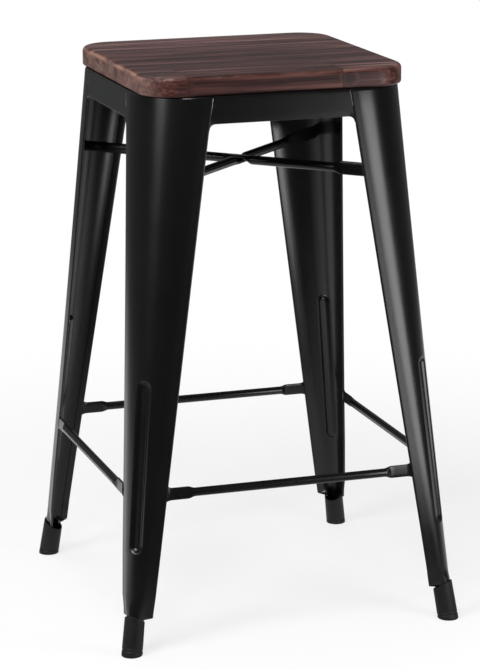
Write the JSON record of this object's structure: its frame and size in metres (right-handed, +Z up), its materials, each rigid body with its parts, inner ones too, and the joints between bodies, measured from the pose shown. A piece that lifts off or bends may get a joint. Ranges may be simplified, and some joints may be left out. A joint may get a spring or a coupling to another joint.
{
  "type": "bar stool",
  "caption": "Backless counter stool with a square dark wood seat, a black folded sheet-steel frame on four splayed legs, an X brace, a square of footrest tubes and rubber feet.",
  "frame": {"origin": "on the floor at the centre of the stool's footprint", "axes": "+Z up, front of the stool towards -Y, +X to the right seen from the front"},
  "size_m": [0.4168, 0.4168, 0.66],
  "materials": {
    "seat_wood": "satin dark walnut stain on straight-grained hardwood",
    "frame_steel": "satin black powder coat",
    "foot_rubber": "moulded matt",
    "zinc_screw": "zinc plated"
  },
  "bodies": {
    "root": {"seat_stave_front_left": "seat_wood", "seat_stave_front_middle": "seat_wood", "seat_stave_front_right": "seat_wood", "seat_stave_2": "seat_wood", "seat_stave_3": "seat_wood", "seat_stave_4": "seat_wood", "seat_stave_back": "seat_wood", "leg_front_left": "frame_steel", "corner_plate_front_left": "frame_steel", "foot_front_left": "foot_rubber", "leg_front_right": "frame_steel", "corner_plate_front_right": "frame_steel", "foot_front_right": "foot_rubber", "leg_back_left": "frame_steel", "corner_plate_back_left": "frame_steel", "foot_back_left": "foot_rubber", "leg_back_right": "frame_steel", "corner_plate_back_right": "frame_steel", "foot_back_right": "foot_rubber", "apron_front": "frame_steel", "footrest_front": "frame_steel", "apron_back": "frame_steel", "footrest_back": "frame_steel", "apron_left": "frame_steel", "footrest_left": "frame_steel", "apron_right": "frame_steel", "footrest_right": "frame_steel", "brace_tube_upper": "frame_steel", "brace_tube_lower": "frame_steel", "seat_screws": "zinc_screw"}
  },
  "joints": []
}
